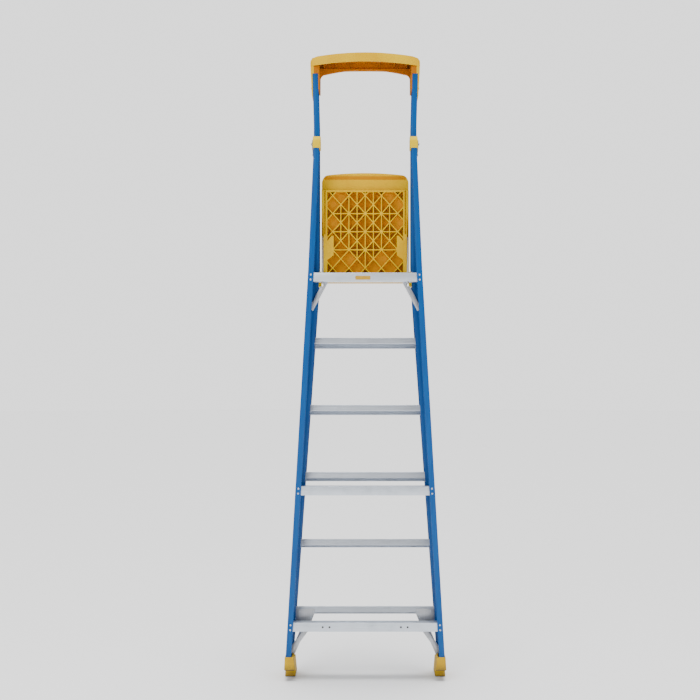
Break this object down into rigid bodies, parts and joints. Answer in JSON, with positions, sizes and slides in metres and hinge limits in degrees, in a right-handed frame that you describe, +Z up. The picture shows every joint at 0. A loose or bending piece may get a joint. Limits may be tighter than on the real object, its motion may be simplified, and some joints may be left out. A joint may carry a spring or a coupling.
{
  "type": "platform step ladder",
  "caption": "Tall folding platform step ladder with blue glass-fibre channel rails, aluminium treads, a fold-up yellow platform and a moulded top guard rail.",
  "frame": {"origin": "on the floor, centred under the ladder's bounding box", "axes": "+Z up, the climbing side faces -Y, the rear frame is on +Y, +X is to the right of someone about to climb"},
  "size_m": [0.6938, 0.1732, 2.686],
  "materials": {
    "rail_fibreglass": "pultruded glass-fibre channel, blue, satin",
    "handrail_plastic": "moulded plastic, yellow, fine grain",
    "platform_plastic": "moulded plastic, yellow, ribbed underside",
    "cap_plastic": "moulded plastic, yellow",
    "boot_rubber": "moulded rubber, yellow, scuffed at the sole",
    "tread_aluminium": "extruded, fine lengthwise grooves",
    "brace_aluminium": "rolled sheet, satin",
    "link_aluminium": "flat bar, satin",
    "zinc_steel": "zinc plated",
    "dark_plastic": "thin moulded packer, dark grey",
    "label": "plain printed film with no text"
  },
  "bodies": {
    "front_frame": {"front_rail_right": "rail_fibreglass", "front_rail_left": "rail_fibreglass", "step_1": "tread_aluminium", "step_2": "tread_aluminium", "step_3": "tread_aluminium", "step_4": "tread_aluminium", "step_5": "tread_aluminium", "step_gusset_right": "brace_aluminium", "step_gusset_left": "brace_aluminium", "front_diagonal_right": "brace_aluminium", "front_diagonal_left": "brace_aluminium", "front_boot_right": "boot_rubber", "front_boot_left": "boot_rubber", "top_handrail": "handrail_plastic", "handrail_bolt_right": "zinc_steel", "handrail_bolt_left": "zinc_steel", "hinge_plate_right": "zinc_steel", "hinge_plate_left": "zinc_steel", "hinge_packer_right": "dark_plastic", "hinge_packer_left": "dark_plastic", "hinge_fixing_upper_right": "zinc_steel", "hinge_fixing_upper_left": "zinc_steel", "hinge_fixing_lower_right": "zinc_steel", "hinge_fixing_lower_left": "zinc_steel", "hinge_bolt_right": "zinc_steel", "hinge_bolt_left": "zinc_steel", "platform_bracket_right": "cap_plastic", "platform_bracket_left": "cap_plastic", "platform_pin_right": "zinc_steel", "platform_pin_left": "zinc_steel"},
    "rear_frame": {"rear_rail_right": "rail_fibreglass", "rear_rail_left": "rail_fibreglass", "rear_brace_top": "brace_aluminium", "rear_brace_middle": "brace_aluminium", "rear_brace_bottom": "brace_aluminium", "upper_diagonal_right": "brace_aluminium", "upper_diagonal_left": "brace_aluminium", "rear_diagonal_right": "brace_aluminium", "rear_diagonal_left": "brace_aluminium", "rear_boot_right": "boot_rubber", "rear_boot_left": "boot_rubber", "hinge_cap_right": "cap_plastic", "hinge_cap_left": "cap_plastic", "link_lug_right": "zinc_steel", "link_lug_left": "zinc_steel", "link_lug_nut_right": "zinc_steel", "link_lug_nut_left": "zinc_steel", "brace_label": "label"},
    "platform": {"platform": "platform_plastic", "link_upper_bolt_right": "zinc_steel", "link_upper_bolt_left": "zinc_steel"},
    "links": {"link_right": "link_aluminium", "link_left": "link_aluminium", "link_lower_bolt_right": "zinc_steel", "link_lower_bolt_left": "zinc_steel"}
  },
  "joints": [
    {"name": "fold", "type": "hinge", "parent": "front_frame", "child": "rear_frame", "pos_m": [0, 0.0534, 2.293], "axis": [1, 0, 0], "range_deg": [0, 35]},
    {"name": "platform_fold", "type": "hinge", "parent": "front_frame", "child": "platform", "pos_m": [0, -0.0166, 1.72], "axis": [-1, 0, 0], "range_deg": [0, 72]},
    {"name": "link_swing", "type": "hinge", "parent": "platform", "child": "links", "pos_m": [0, -0.0126, 1.89791], "axis": [1, 0, 0], "range_deg": [0, 161.41]}
  ],
  "couplings": [
    {"joint": "platform_fold", "follows": "fold", "ratio": 2.0571},
    {"joint": "link_swing", "follows": "fold", "ratio": 4.6116}
  ]
}
